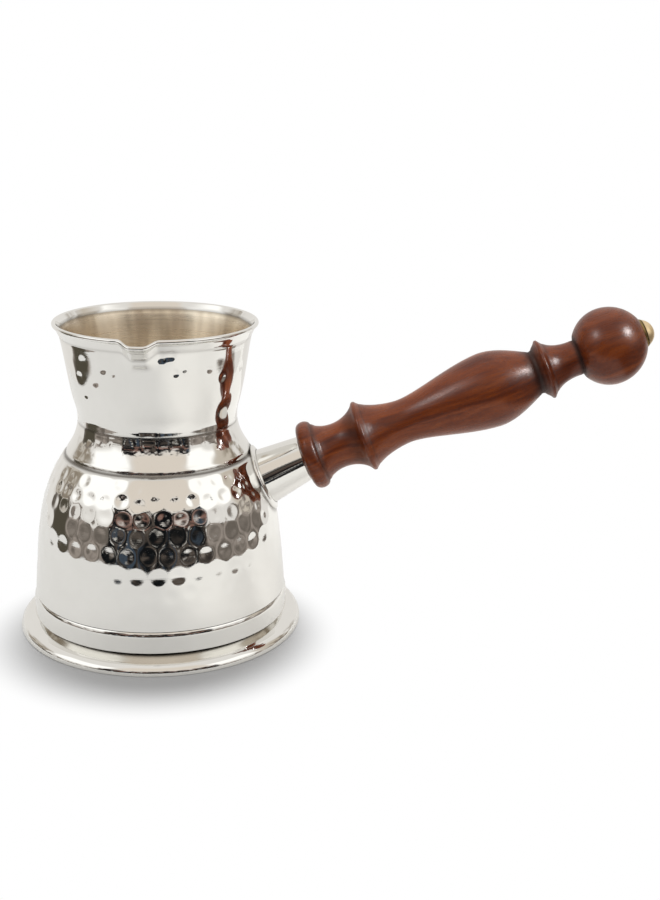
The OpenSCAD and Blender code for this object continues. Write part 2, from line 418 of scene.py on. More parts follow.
def floor_material():
    """Paper with a soft shadow near the pot, partly cast and partly painted: the paper there is grey, in a
    round patch set towards the camera, and it glows plain white further out.
    """
    material, g = new_material("pale_floor")
    place = g.node("ShaderNodeTexCoord").outputs["Object"]
    # Painted shadow: grey paper near the pot.
    colour = g.mix(g.noise(place, 60.0, detail=3.0), rgb(0.445, 0.445, 0.445), rgb(0.455, 0.455, 0.455))
    near = g.node("ShaderNodeBsdfDiffuse", {"Color": colour})
    diffuse = g.node("ShaderNodeLightPath").outputs["Is Diffuse Ray"]
    glow = g.span(diffuse, 0.0, 1.0, 1.0, FLOOR_BOUNCE, smooth=False)
    far = g.node("ShaderNodeEmission", {"Color": rgb(1.0, 1.0, 1.0), "Strength": glow})
    centred = g.added(place, (0.0, SHADOW_SHIFT, 0.0))
    distance = g.node("ShaderNodeVectorMath", {0: centred}, operation="LENGTH").outputs["Value"]
    share = g.span(distance, *SHADOW_EDGE)
    blend = g.node("ShaderNodeMixShader", {0: share, 1: near.outputs[0], 2: far.outputs[0]})
    g.node("ShaderNodeOutputMaterial", {"Surface": blend.outputs[0]})
    return material


# ---- Pot body ----

WALL = 1.2 * MM
WAIST_R = 25.8 * MM
NECK_R = 30.7 * MM
WAIST_Z = 71 * MM
SHOULDER = (WAIST_R + 3.8 * MM, 61.1 * MM)
NECK_ROOT = (WAIST_R + 0.7 * MM, WAIST_Z + 5 * MM)
BEAD_R = 0.7 * MM
LIP = (32.2 * MM, POT_TOP - BEAD_R)         # centre of the rolled bead round the mouth
FLARE_Z = LIP[1] - 3.7 * MM                 # where the neck turns out into the mouth
INNER_CREASE_Z = FLARE_Z + 1.9 * MM         # the same turn on the inside
SPIGOT_R = 38.7 * MM                        # the shell's lower end, inside the foot ring
PLAIN_Z = 15 * MM                           # below this the belly has no hammer marks
SHELL_TURNS = 460
FINE_STEP = 0.52 * MM
COARSE_STEP = 2.2 * MM


def pot_outline():
    """Outside of the pot, from the foot ring up to the mouth."""
    belly = bezier([(BELLY_R, BELLY_FOOT_Z), (BELLY_R - 2 * MM, 38.7 * MM),
                    (BELLY_R - 2.5 * MM, 47.7 * MM), SHOULDER], 60)
    waist = bezier([SHOULDER, (WAIST_R + 0.7 * MM, 65.4 * MM),
                    (WAIST_R - 0.9 * MM, WAIST_Z - 0.3 * MM), NECK_ROOT], 30)
    neck = bezier([NECK_ROOT, (WAIST_R + 2.8 * MM, 83 * MM),
                   (NECK_R - 1.5 * MM, 92 * MM), (NECK_R, FLARE_Z)], 40)
    return joined(belly, waist, neck, [(NECK_R, FLARE_Z)])


OUTLINE = pot_outline()

# Rows of hammer marks: height, marks in the row, depth, radius (lengths in millimetres) and looseness
HAMMER_ROWS = [
    (56.6, 34, 0.17, 2.7, 0.16), (52.3, 40, 0.25, 2.7, 0.10), (47.7, 39, 0.15, 3.3, 0.08),
    (42.4, 40, 0.12, 3.3, 0.08), (36.5, 40, 0.17, 3.3, 0.05), (30.3, 40, 0.125, 3.3, 0.05),
    (24.4, 40, 0.10, 2.8, 0.10), (18.9, 40, 0.02, 2.5, 0.15),
    (68.3, 31, 0.06, 2.5, 0.30), (64.6, 33, 0.02, 2.2, 0.30), (93.0, 27, 0.02, 2.4, 0.30),
    (87.5, 25, 0.015, 2.4, 0.30),
]
# Single dents on the neck and beside the socket: angle round the pot in degrees, then height, radius
# and depth in millimetres
SINGLE_DENTS = [
    (-118, 92.3, 1.9, 0.15), (-111, 91.4, 1.7, 0.13), (-125, 87.6, 1.8, 0.15), (-136, 82.7, 1.9, 0.16),
    (-81, 97.2, 2.6, 0.26), (-76, 97.6, 2.4, 0.24), (-73, 91.9, 1.8, 0.17), (-68, 93.2, 1.9, 0.19),
    (-51, 92.0, 1.4, 0.12), (-40, 88.5, 2.0, 0.14), (-133, 93.6, 2.4, 0.14), (-139, 88.2, 2.2, 0.14),
    (-20, 90.0, 2.0, 0.14), (12, 93.0, 2.0, 0.15), (38, 86.0, 2.2, 0.14), (71, 95.0, 2.2, 0.18),
    (96, 90.5, 1.8, 0.15), (124, 94.0, 2.2, 0.16), (151, 87.0, 2.0, 0.15), (176, 92.0, 2.0, 0.14),
    (-29, 57.0, 1.9, 0.14), (-34.5, 57.8, 1.8, 0.13), (-32, 53.6, 2.0, 0.16), (-37, 54.4, 1.9, 0.13),
    (-29.5, 49.6, 1.9, 0.15), (-35, 50.2, 2.0, 0.14), (-28, 45.6, 1.9, 0.14), (-24.5, 42.0, 1.9, 0.12),
]
SHOULDER_GROOVE_Z = 59.8 * MM
WAIST_CREASE_Z = 70.4 * MM
SPOUT_ANGLE = math.radians(-94)             # from the handle round to the pouring lip


def hammer_marks(heights, along, radius):
    """Every mark on the shell: turn, distance along the outline, radius and depth."""
    rng = random.Random(7)
    marks = []
    for row, (height, count, depth, size, loose) in enumerate(HAMMER_ROWS):
        pitch = 2 * math.pi / count
        s0, r0 = np.interp(height * MM, heights, along), np.interp(height * MM, heights, radius)
        for k in range(count):
            turn = (k + 0.5 * (row % 2) + rng.uniform(-loose, loose)) * pitch
            rise = rng.uniform(-loose, loose) * pitch * r0
            wide = size * rng.uniform(0.93, 1.07)
            deep = depth * rng.uniform(0.86, 1.14)
            marks.append((turn, s0 + rise, wide * MM, deep * MM))
    for turn, height, size, depth in SINGLE_DENTS:
        marks.append((math.radians(turn), np.interp(height * MM, heights, along), size * MM, depth * MM))
    return marks


def hammered(path, heights, angle):
    """How far hammering moves each point of the shell outward."""
    along = lengths(path)
    radius = path[:, 0]
    offset = np.zeros((len(path), len(angle)))
    for turn, s, wide, deep in hammer_marks(heights, along, radius):
        near = np.abs(along - s) < wide
        around = (angle - turn + math.pi) % (2 * math.pi) - math.pi
        flat = np.hypot(around[None, :] * radius[near, None], (along[near] - s)[:, None]) / wide
        offset[near] -= deep * np.clip(1 - flat ** 2, 0, 1) ** 2
    return offset


def waves(height, angle):
    """Slight unevenness of a hand-raised shell."""
    h, a = height[:, None], angle[None, :]
    neck = 1 + 0.8 * ease(h, 74 * MM, 84 * MM)
    return 0.018 * MM * neck * (np.sin(3 * a + 90 * h + 1.0) + np.sin(5 * a - 140 * h + 2.2)
                                + 0.6 * np.sin(11 * a + 210 * h) + 0.5 * np.sin(17 * a - 330 * h + 0.7)
                                + 0.25 * np.sin(29 * a + 520 * h + 1.9))


def pour_lip(radius, height, angle):
    """Pushes the mouth out and down at the pouring lip."""
    across = ((angle - SPOUT_ANGLE + math.pi) % (2 * math.pi) - math.pi) * LIP[0]
    share = 1 - ease(np.abs(across), 1.6 * MM, 6.4 * MM)
    flared = np.clip((height - FLARE_Z) / (LIP[1] - FLARE_Z), 0, 1)
    out = 0.8 * MM * ease(height, 91 * MM, FLARE_Z) + 1.9 * MM * flared
    down = 2.4 * MM * ease(height, 92 * MM, FLARE_Z) - 1.0 * MM * flared
    return radius + share * out, height - share * down


def socket_painted_shade(piece, shape):
    """Painted shade and dark reflection on the shell, close round the flange of the handle socket."""
    points = np.empty(len(piece.data.vertices) * 3)
    piece.data.vertices.foreach_get("co", points)
    away = points.reshape(*shape, 3) - np.array(SEAT)
    along = away @ SOCKET_AXIS
    reach = np.sqrt(np.maximum((away ** 2).sum(-1) - along ** 2, 0))
    return 0.7 * bump(reach - COLLAR_R - 0.2 * MM, 0.8 * MM) * (along > -SOCKET_DEPTH)


def pot_body(silver, tin):
    outside = joined(resampled(OUTLINE[OUTLINE[:, 1] < PLAIN_Z], FINE_STEP * 1.6),
                     resampled(OUTLINE[OUTLINE[:, 1] > PLAIN_Z], FINE_STEP))
    flare = resampled(joined([outside[-1]], [(LIP[0] - 0.1 * MM, LIP[1] - BEAD_R)]), FINE_STEP)[1:-1]
    spigot = joined([(SPIGOT_R, POT_LOW.z), (SPIGOT_R, BELLY_FOOT_Z - 1.4 * MM),
                     (BELLY_R - 1.2 * MM, BELLY_FOOT_Z - 0.2 * MM)])
    skin = joined(spigot, outside, flare)
    bead = arc(LIP, BEAD_R, -75, 165, 13)
    lining = shifted(joined(spigot, resampled(OUTLINE, COARSE_STEP), flare[::2]), -WALL)[::-1]
    path = joined(skin, bead, lining)
    angle = np.arange(SHELL_TURNS) * 2 * math.pi / SHELL_TURNS

    offset = np.zeros((len(path), SHELL_TURNS))
    shell = slice(len(spigot), len(skin))
    heights = skin[shell, 1]
    offset[shell] = hammered(skin[shell], heights, angle) + waves(heights, angle)
    groove = bump(heights - SHOULDER_GROOVE_Z, 0.62 * MM)
    crease = bump(heights - WAIST_CREASE_Z, 0.40 * MM)
    under_lip = bump(heights - FLARE_Z, 0.4 * MM)
    cut = 0.52 * groove + 0.12 * crease + 0.08 * under_lip
    foot_line = ease(heights, BELLY_FOOT_Z, BELLY_FOOT_Z + 2 * MM)
    offset[shell] *= foot_line[:, None]
    offset[shell] -= cut[:, None] * MM

    piece = revolved("hammered_pot", path, SHELL_TURNS, wrap=True, offset=offset, push=pour_lip)
    # Tarnish and painted shade: the shoulder groove, the waist crease and the turn under the lip are painted
    # dark, and so is the crease inside the mouth.
    tarnish_and_shade = np.zeros((len(path), SHELL_TURNS))
    groove_tarnish_and_shade = 0.95 * bump(heights - SHOULDER_GROOVE_Z + 0.15 * MM, 0.55 * MM)
    tarnish_and_shade[shell] = np.clip(groove_tarnish_and_shade + 0.5 * crease + 0.25 * under_lip, 0, 1)[:, None]
    inside = slice(len(skin) + len(bead), len(path))
    tarnish_and_shade[inside] = 0.6 * bump(path[inside, 1] - INNER_CREASE_Z, 0.35 * MM)[:, None]
    # Painted shade round the socket's flange.
    tarnish_and_shade += socket_painted_shade(piece, tarnish_and_shade.shape)
    paint(piece, "tarnish_and_shade", tarnish_and_shade)
    ring = np.arange(len(piece.data.polygons)) // SHELL_TURNS
    inner = (ring >= len(skin) + len(bead) + 1).astype(np.int32)
    piece.data.polygons.foreach_set("material_index", inner)
    crease_edges(piece, 40)
    return finish_piece(piece, "pot", "pot_body", "silver_plate", silver, tin)


# ---- Foot ----


FOOT_TREAD_R = 42 * MM                      # the foot stands on the ring outside this radius
FOOT_RECESS = 0.6 * MM
FOOT_ROLL = 2.9 * MM                        # radius of the flange's rounded rim
FOOT_CORNER = 0.3 * MM
FOOT_GROOVE_Z = 4.85 * MM
FOOT_TURNS = 360


def foot_outline():
    """Closed section of the foot, from its inner lower corner round the outside."""
    band = BELLY_R + 0.45 * MM
    under = [(SPIGOT_R, FOOT_RECESS), (FOOT_TREAD_R - 1 * MM, FOOT_RECESS),
             (FOOT_TREAD_R - 0.3 * MM, 0.15 * MM), (FOOT_TREAD_R, FOOT_LOW.z)]
    rim = joined([(FOOT_TREAD_R + 0.4 * MM, FOOT_LOW.z)],
                 arc((FOOT_R - FOOT_CORNER, FOOT_CORNER), FOOT_CORNER, -90, 0, 8),
                 arc((FOOT_R - FOOT_ROLL, 0.45 * MM), FOOT_ROLL, 0, 75, 26))
    slope = bezier([rim[-1], (43.4 * MM, 3.50 * MM), (42.0 * MM, 3.80 * MM), (40.5 * MM, 4.40 * MM)], 20)[1:]
    groove = [(40.5 * MM, 4.40 * MM), (40.1 * MM, 4.35 * MM), (39.6 * MM, 4.6 * MM),
              (band - 0.8 * MM, 5.4 * MM), (band + 0.05 * MM, 5.55 * MM), (band + 0.2 * MM, 5.7 * MM)]
    side = bezier([(band + 0.2 * MM, 5.9 * MM), (band + 0.1 * MM, 7 * MM), (band, 9 * MM),
                   (band, SKIRT_TOP_Z - 1.5 * MM)], 16)
    shoulder = bezier([(band, SKIRT_TOP_Z - 1.5 * MM), (band - 0.02 * MM, SKIRT_TOP_Z - 1.1 * MM),
                       (band - 0.25 * MM, SKIRT_TOP_Z - 0.5 * MM),
                       (band - 0.45 * MM, SKIRT_TOP_Z - 0.12 * MM)], 8)
    top = [(band - 0.55 * MM, SKIRT_TOP_Z), (band - 0.9 * MM, SKIRT_TOP_Z),
           (SPIGOT_R + 1.4 * MM, SKIRT_TOP_Z - 0.2 * MM), (SPIGOT_R, SKIRT_TOP_Z - 1.2 * MM)]
    return joined(under, resampled(rim, 0.3 * MM), slope, groove, side, shoulder, top)


def foot_ring(silver):
    """Spun skirt: band, groove, slope and the rounded flange that stands on the table."""
    path = foot_outline()
    piece = revolved("foot_skirt", path, FOOT_TURNS, wrap=True)
    # Tarnish and painted shade: the groove and the seam at the skirt's top are painted dark, on the band
    # only.
    groove = bump(path[:, 1] - FOOT_GROOVE_Z, 0.8 * MM)
    seam = bump(path[:, 1] - SKIRT_TOP_Z, 0.45 * MM)
    stain_and_shade = np.maximum(groove, seam) * (path[:, 0] < 41 * MM)
    paint(piece, "tarnish_and_shade", np.repeat(stain_and_shade[:, None], FOOT_TURNS, 1))
    crease_edges(piece, 38)
    return finish_piece(piece, "pot", "foot_ring", "silver_plate", silver)


def floor_plate(tin):
    """Spun disc that closes the bottom, with a shallow ring pressed into it."""
    edge = PLATE_HIGH.x
    round_off = 0.25 * MM
    inset = np.linspace(edge - round_off, 0, 60)
    ripple = 0.12 * MM * (bump(inset - 0.72 * edge, 1.2 * MM) + bump(inset - 0.4 * edge, 1.2 * MM))
    top = np.stack([inset, PLATE_HIGH.z - ripple], 1)
    bottom = np.stack([inset[::-1], np.full(60, PLATE_LOW.z)], 1)
    path = joined(bottom, [(edge, PLATE_LOW.z + round_off), (edge, PLATE_HIGH.z - round_off)], top)
    piece = revolved("pot_floor", path, 180)
    crease_edges(piece, 40)
    return finish_piece(piece, "pot", "floor_plate", "silver_plate", tin)


# ---- Socket ----

SOCKET_PITCH = math.radians(26.5)
SOCKET_MOUTH_R = 7.4 * MM
SOCKET_TAPER = 2.05 / 16                    # growth of the radius towards the pot
SOCKET_WALL = 0.9 * MM
SOCKET_AXIS = np.array([math.cos(SOCKET_PITCH), 0, math.sin(SOCKET_PITCH)])
SOCKET_SIDE = np.array([0, 1, 0])
SOCKET_UP = np.array([-math.sin(SOCKET_PITCH), 0, math.cos(SOCKET_PITCH)])
SOCKET_TURNS = 160
SOCKET_DEPTH = 26 * MM                      # from the handle's seat to well inside the pot
COLLAR_R = 11.3 * MM
COLLAR_ROOT_R = 9.3 * MM                    # where the collar meets the socket


def socket_point(turn, radius, along):
    """Point at a radius and a turn round the socket's axis, along metres out from the handle's seat."""
    turn, radius, along = np.broadcast_arrays(turn, radius, along)
    spoke = np.cos(turn)[..., None] * SOCKET_SIDE + np.sin(turn)[..., None] * SOCKET_UP
    return np.array(SEAT) + along[..., None] * SOCKET_AXIS + radius[..., None] * spoke


def meets_pot(turn, radius, lift):
    """How far along the socket's axis the line at this turn and radius meets the pot's lifted skin."""
    skin = shifted(OUTLINE, lift)
    turn, radius = np.broadcast_arrays(turn, radius)
    inside = np.full(turn.shape, -SOCKET_DEPTH)
    outside = np.zeros(turn.shape)
    for _ in range(40):
        middle = (inside + outside) / 2
        p = socket_point(turn, radius, middle)
        within = np.hypot(p[..., 0], p[..., 1]) < np.interp(p[..., 2], skin[:, 1], skin[:, 0])
        inside = np.where(within, middle, inside)
        outside = np.where(within, outside, middle)
    return outside


def socket_radius(along):
    return SOCKET_MOUTH_R - SOCKET_TAPER * along


def socket_collar(silver):
    """Saddle flange that lies on the belly and rises a little towards the socket."""
    root = COLLAR_ROOT_R
    section = [(root - 0.4 * MM, -0.2 * MM), (COLLAR_R - 0.1 * MM, -0.2 * MM), (COLLAR_R, 0.0 * MM),
               (COLLAR_R, 0.36 * MM), (COLLAR_R - 0.1 * MM, 0.54 * MM), (COLLAR_R - 0.3 * MM, 0.64 * MM),
               (COLLAR_R - 0.7 * MM, 0.70 * MM), (root + 0.8 * MM, 0.78 * MM), (root + 0.4 * MM, 0.84 * MM),
               (root + 0.15 * MM, 0.80 * MM), (root + 0.05 * MM, 0.65 * MM), (root - 0.4 * MM, 0.55 * MM)]
    turn = np.arange(SOCKET_TURNS) * 2 * math.pi / SOCKET_TURNS
    rings = [socket_point(turn, r, meets_pot(turn, r, lift)) for r, lift in section]
    vertices = np.stack(rings).reshape(-1, 3)
    faces = grid_faces(len(section), SOCKET_TURNS, True)[:, ::-1].tolist()
    piece = new_object("socket_flange", vertices, faces)
    reach = np.array([r for r, _ in section])
    # Tarnish and painted shade along the seam with the tube.
    seam = bump(reach - root, 0.25 * MM)
    paint(piece, "tarnish_and_shade", np.repeat(seam[:, None], SOCKET_TURNS, 1))
    crease_edges(piece, 50)
    return finish_piece(piece, "pot", "socket_collar", "silver_plate", silver)


def socket_tube(silver):
    """Tapered socket, cut square to the handle at its mouth and to the belly at its root."""
    turn = np.arange(SOCKET_TURNS) * 2 * math.pi / SOCKET_TURNS
    axis = np.array(HANDLE_AXIS)

    def mouth(margin):
        """Distance along the socket's axis at which its surface meets the handle's seat."""
        along = np.zeros(SOCKET_TURNS)
        for _ in range(12):
            p = socket_point(turn, socket_radius(along) - margin, along)
            along -= (p - np.array(SEAT)) @ axis / (SOCKET_AXIS @ axis)
        return along

    def sleeve(margin, shares, back):
        end = mouth(margin) - back
        root = meets_pot(turn, COLLAR_ROOT_R + 0.05 * MM - margin, -0.5 * MM)
        places = [root + (end - root) * k for k in shares]
        return [socket_point(turn, socket_radius(place) - margin, place) for place in places]

    edge = 0.22 * MM
    rings = sleeve(0, np.linspace(0, 1, 26), edge)
    rings += sleeve(0.3 * edge, [1.0], 0.3 * edge)
    rings += sleeve(edge, [1.0], 0)
    rings += sleeve(SOCKET_WALL, np.linspace(1, 0, 8), 0)
    vertices = np.stack(rings).reshape(-1, 3)
    faces = grid_faces(len(rings), SOCKET_TURNS, True)[:, ::-1].tolist()
    piece = new_object("handle_socket", vertices, faces)
    crease_edges(piece, 50)
    return finish_piece(piece, "pot", "socket_tube", "silver_plate", silver)


# ---- Handle ----

GRIP_L = 117 * MM
BALL_R = 12.75 * MM
BALL_FLAT_R = 5.3 * MM
BALL_Z = GRIP_L - math.sqrt(BALL_R ** 2 - BALL_FLAT_R ** 2)
NECK_END_R = 5.9 * MM                       # where the neck runs into the ball
BALL_SQUASH = 0.93                          # the ball's half towards the neck is this much flatter
BORE_R = 2.8 * MM
SHANK_R = 3.5 * MM                          # the nut's sleeve, inside the ball
SHANK_L = 9 * MM
TENON_R = 5.4 * MM                          # the plug inside the socket
TENON_L = 7 * MM
GRIP_TURNS = 224

# Turned lines: distance from the seat, half width and depth, in millimetres
GRIP_LINES = [(5.3, 0.30, 0.22), (6.6, 0.25, 0.10), (22.6, 0.22, 0.10), (81.2, 0.35, 0.20),
              (85.3, 0.22, 0.10), (95.1, 0.40, 0.32)]
# Painted shade in the hollows: distance from the seat, half width, strength
GRIP_SHADES = [(5.4, 0.7, 0.6), (17.8, 2.6, 0.45), (22.6, 0.3, 0.4), (80.6, 2.1, 1.0), (85.3, 0.3, 0.4),
               (95.0, 0.9, 1.0)]


def handle_place():
    """Placement whose Z axis runs outward along the handle from its seat."""
    return Matrix.Translation(SEAT) @ Matrix.Rotation(HANDLE_LEAN, 4, "Y")


def grip_path():
    """Outside of the wooden handle, from the tenon to the flat under the washer, in metres."""
    points = joined(
        [(9.4, 0)],
        bezier([(10.2, 0.3), (11.9, 1), (12, 4.2), (10.2, 5.1)], 14),
        bezier([(9.9, 5.4), (6.7, 8), (6.4, 16.2), (11.1, 19.9)], 30),
        arc((11.0, 20.8), 0.9, -65, 68, 12),
        bezier([(11.3, 21.7), (9.0, 24.2), (7.5, 30), (7.3, 34.6)], 22),
        bezier([(7.3, 34.6), (7.3, 42), (12, 53.5), (12.5, 64.3)], 40),
        bezier([(12.5, 64.3), (12.6, 70), (9.6, 75.5), (7.1, 80.5)], 24),
        bezier([(7.1, 80.5), (7.5, 81.3), (8.7, 82.4), (9.3, 83.1)], 6),
        arc((9.45, 83.7), 0.55, -60, 70, 10),
        bezier([(9.4, 84.4), (7.1, 86.3), (5.55, 89.5), (5.85, 94.7)], 18))
    start = math.degrees(math.asin(NECK_END_R / BALL_R)) - 90
    stop = 90 - math.degrees(math.asin(BALL_FLAT_R / BALL_R))
    ball = arc((0, 0), BALL_R, start, stop, 70)
    ball[:, 1] = BALL_Z + ball[:, 1] * np.where(ball[:, 1] < 0, BALL_SQUASH, 1.0)
    outside = joined(points * MM, ball)
    return resampled(outside, 0.42 * MM)


def handle_grip(rosewood):
    """Turned handle with its tenon, its bore and the counterbore for the nut's sleeve."""
    outside = grip_path()
    wander = np.zeros(len(outside))
    shade = np.zeros(len(outside))
    for at, width, depth in GRIP_LINES:
        wander += depth * bump(outside[:, 1] / MM - at, width)
    for at, width, strength in GRIP_SHADES:
        shade = np.maximum(shade, strength * bump(outside[:, 1] / MM - at, width))
    cut = outside - wander[:, None] * MM * right_of(outside)
    counterbore = SHANK_R + 0.35 * MM
    depth = GRIP_L - SHANK_L - 0.5 * MM
    plug = [(BORE_R, -TENON_L), (TENON_R - 0.3 * MM, -TENON_L), (TENON_R, -TENON_L + 0.3 * MM), (TENON_R, 0)]
    end = [(BALL_FLAT_R - 0.2 * MM, GRIP_L), (counterbore + 0.2 * MM, GRIP_L),
           (counterbore, GRIP_L - 0.2 * MM), (counterbore, depth), (BORE_R, depth)]
    path = joined(plug, cut, end)
    piece = revolved("turned_handle", path, GRIP_TURNS, wrap=True)
    # Painted shade in the hollows, for the wood's material to read.
    groove = np.zeros(len(path))
    groove[len(plug):len(plug) + len(cut)] = shade
    paint(piece, "groove", np.repeat(groove[:, None], GRIP_TURNS, 1))
    crease_edges(piece, 45)
    piece.data.transform(handle_place())
    return finish_piece(piece, "pot", "handle_grip", "rosewood", rosewood)


# ---- Washer and domed nut ----

WASHER_R = 4.7 * MM
WASHER_T = 0.7 * MM
DOME_R = 4.45 * MM
DOME_H = 3.2 * MM
RUNNING_FIT = 0.06 * MM
NUT_TURNS = 128


def finial_washer(brass):
    """Flat washer with soft edges."""
    low, high = GRIP_L, GRIP_L + WASHER_T
    soft = 0.12 * MM
    hole = SHANK_R + RUNNING_FIT
    path = joined([(hole, low + soft), (hole + soft, low), (WASHER_R - soft, low)],
                  arc((WASHER_R - soft, low + soft), soft, -60, 0, 4),
                  arc((WASHER_R - soft, high - soft), soft, 0, 90, 5),
                  [(hole + soft, high), (hole, high - soft)])
    piece = revolved("brass_washer", path, NUT_TURNS, wrap=True)
    # Brown stain and painted shade where the nut sits.
    stain_and_shade = 0.6 * bump(path[:, 1] - high, 0.1 * MM)
    paint(piece, "tarnish_and_shade", np.repeat(stain_and_shade[:, None], NUT_TURNS, 1))
    crease_edges(piece, 50)
    piece.data.transform(handle_place())
    return finish_piece(piece, "washer", "finial_washer", "brass", brass)


def finial_nut(brass):
    """Domed nut with a sleeve that runs down into the ball, over the end of the rod."""
    base = GRIP_L + WASHER_T
    curve = (DOME_R ** 2 + DOME_H ** 2) / (2 * DOME_H)
    reach = math.degrees(math.asin(DOME_R / curve))
    bore = 2.56 * MM
    dome = arc((0, base + DOME_H - curve), curve, 90 - reach + 6, 89, 26)
    path = joined([(0, base + 1.4 * MM), (bore, base + 1.2 * MM), (bore, base - SHANK_L + 0.2 * MM),
                   (bore + 0.2 * MM, base - SHANK_L), (SHANK_R - 0.2 * MM, base - SHANK_L),
                   (SHANK_R, base - SHANK_L + 0.2 * MM), (SHANK_R, base - 0.1 * MM),
                   (SHANK_R + 0.1 * MM, base), (DOME_R - 0.45 * MM, base + 0.02 * MM),
                   (DOME_R - 0.18 * MM, base + 0.14 * MM), (DOME_R - 0.05 * MM, base + 0.32 * MM)],
                  dome, [(0, base + DOME_H)])
    piece = revolved("domed_nut", path, NUT_TURNS)
    # Brown stain and painted shade round the nut's base, where it meets the washer.
    stain_and_shade = bump(path[1:-1, 1] - base, 0.30 * MM)
    paint(piece, "tarnish_and_shade", np.repeat(stain_and_shade[:, None], NUT_TURNS, 1))
    crease_edges(piece, 40)
    piece.data.transform(handle_place())
    return finish_piece(piece, "cap_nut", "finial_nut", "brass", brass)


# ---- Studio ----

# The camera stands at an azimuth round the pot. From facing the pot's axis, it is turned to the handle's
# side, tipped down and rolled.
CAMERA_AZIMUTH = math.radians(6)
CAMERA_DISTANCE = 0.4078
CAMERA_HEIGHT = 0.1834
CAMERA_YAW = math.radians(7.97)
CAMERA_PITCH = math.radians(16.98)
CAMERA_ROLL = math.radians(1.06)
CAMERA_LENS = 51.17


def camera():
    data = bpy.data.cameras.new("camera")
    data.lens = CAMERA_LENS
    data.clip_start = 0.01
    eye = bpy.data.objects.new("camera", data)
    bpy.context.scene.collection.objects.link(eye)
    place = Vector((CAMERA_DISTANCE * math.sin(CAMERA_AZIMUTH), -CAMERA_DISTANCE * math.cos(CAMERA_AZIMUTH),
                    CAMERA_HEIGHT))
    turn = (Matrix.Rotation(CAMERA_AZIMUTH - CAMERA_YAW, 4, "Z")
            @ Matrix.Rotation(math.pi / 2 - CAMERA_PITCH, 4, "X") @ Matrix.Rotation(CAMERA_ROLL, 4, "Z"))
    eye.matrix_world = Matrix.Translation(place) @ turn
    bpy.context.scene.camera = eye


def softbox(name, azimuth, elevation, distance, size, watts):
    """Square light that faces the pot. Azimuth is round the pot, from the camera towards its right."""
    data = bpy.data.lights.new(name, "AREA")
    data.size = size
    data.energy = watts
    lamp = bpy.data.objects.new(name, data)
    bpy.context.scene.collection.objects.link(lamp)
    a, e = math.radians(azimuth) + CAMERA_AZIMUTH, math.radians(elevation)
    away = Vector((math.sin(a) * math.cos(e), -math.cos(a) * math.cos(e), math.sin(e)))
    lamp.location = Vector((0, 0, 0.06)) + distance * away
    lamp.rotation_mode = "QUATERNION"
    lamp.rotation_quaternion = away.to_track_quat("Z", "Y")
    return lamp


def sheet(name, size, height, material):
    """Flat rectangle of the studio, at a height."""
    x, y = size[0] / 2, size[1] / 2
    corners = np.array([(-x, -y, height), (x, -y, height), (x, y, height), (-x, y, height)])
    ground = new_object(name, corners, [[0, 1, 2, 3]])
    ground.data.materials.append(material)
    return ground


def studio_floor():
    """A table top that only the silver mirrors, and a wide floor under it that the silver doesn't."""
    table = sheet("table_top", (0.42, 0.43), -0.02 * MM, table_material())
    table.visible_camera = False
    table.visible_shadow = False
    table.visible_diffuse = False
    wide = sheet("floor", (12, 12), -0.03 * MM, floor_material())
    wide.visible_glossy = False


def patch(g, azimuth, elevation, centre, half, soft):
    """Share of a soft-edged rectangle at a direction, in degrees. soft is the width of its edge."""
    across = g.math("ABSOLUTE", g.math("SUBTRACT", azimuth, centre[0]))
    upward = g.math("ABSOLUTE", g.math("SUBTRACT", elevation, centre[1]))
    wide = g.span(across, half[0] + soft / 2, half[0] - soft / 2)
    tall = g.span(upward, half[1] + soft / 2, half[1] - soft / 2)
    return g.math("MULTIPLY", wide, tall)


# What stands round the pot, as the silver sees it. Azimuth 0 is the camera's side and runs to its right.
# Each patch has its centre and half size (azimuth, elevation) and the width of its soft edge, in degrees.
TENT = rgb(0.84, 0.82, 0.79)
TENT_PARTS = [
    ((0, 44), (40, 20), 16, rgb(0.80, 0.73, 0.65)),
    ((98, 20), (16, 18), 14, rgb(0.62, 0.56, 0.48)),
    ((-118, 14), (12, 14), 10, rgb(0.58, 0.54, 0.48)),
    ((-72, 31), (27, 15), 10, rgb(1.25, 1.25, 1.23)),
    ((61, 33), (20, 14), 9, rgb(1.25, 1.24, 1.21)),
]
MOTTLED_SIDES = ((116, 13), (18, 13), 14)   # creased cloth, on both sides
SIDE_BELT = ((-5, -27), (121, 34), 3)       # low brown furniture and the floor round the table
SIDE_SHADE = ((-110, -14), (13, 20), 8)     # darker furniture on the left
DARK_ROOM = ((-4, -18), (48, 41), 4)        # open side of the tent, where the camera stands
TENT_POLE = ((-50, 9), (1.5, 10), 2)
DIM_SIDE = ((-95, 0), (45, 60), 30)         # the left gives less light to what isn't shiny


